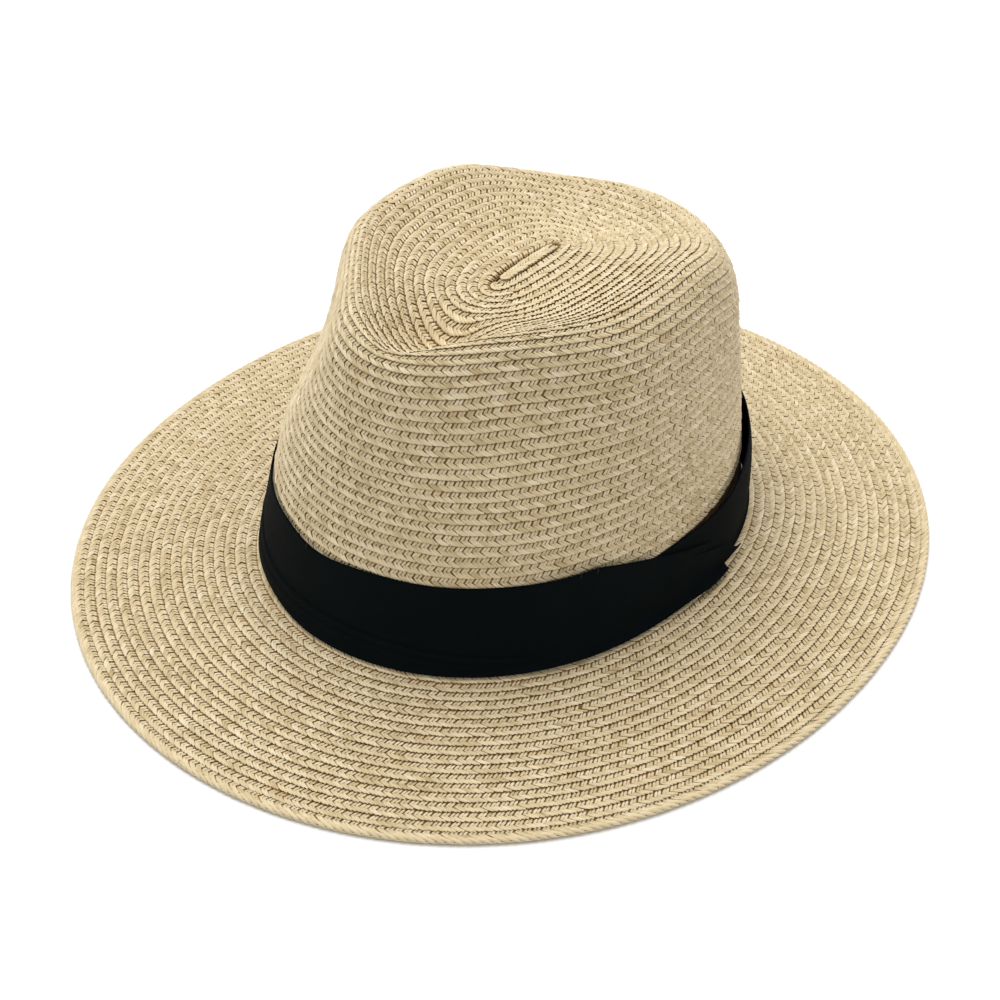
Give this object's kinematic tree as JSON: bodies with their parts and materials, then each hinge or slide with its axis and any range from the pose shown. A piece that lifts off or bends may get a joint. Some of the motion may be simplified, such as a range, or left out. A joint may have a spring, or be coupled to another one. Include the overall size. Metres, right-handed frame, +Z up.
{
  "type": "sun hat",
  "caption": "Straw sun hat: coiled braid crown with a centre crease, wide flat brim, black cloth band with a folded flat end.",
  "frame": {"origin": "middle of the brim's outline, on the surface that the hat lies on, brim down", "axes": "+Z up through the crown, +Y towards the back of the hat (the wearer looks along -Y), +X towards the wearer's left"},
  "size_m": [0.3222, 0.3558, 0.1306],
  "materials": {
    "straw_braid": "natural, matt to faintly satin, with small differences from strand to strand",
    "band_cloth": "matt black plain weave",
    "sewing_thread": "matt straw-coloured thread",
    "tack_thread": "matt black thread",
    "sweatband_cloth": "matt dark cotton twill"
  },
  "bodies": {
    "root": {"crown_tip_braid": "straw_braid", "braid_start": "straw_braid", "crown_side_braid": "straw_braid", "brim_braid": "straw_braid", "brim_edge_braid": "straw_braid", "hat_band": "band_cloth", "hat_band_end_flap": "band_cloth", "hat_band_end_tuck": "band_cloth", "hat_band_tacks": "tack_thread", "sweatband": "sweatband_cloth", "sweatband_stitches": "sewing_thread"}
  },
  "joints": []
}
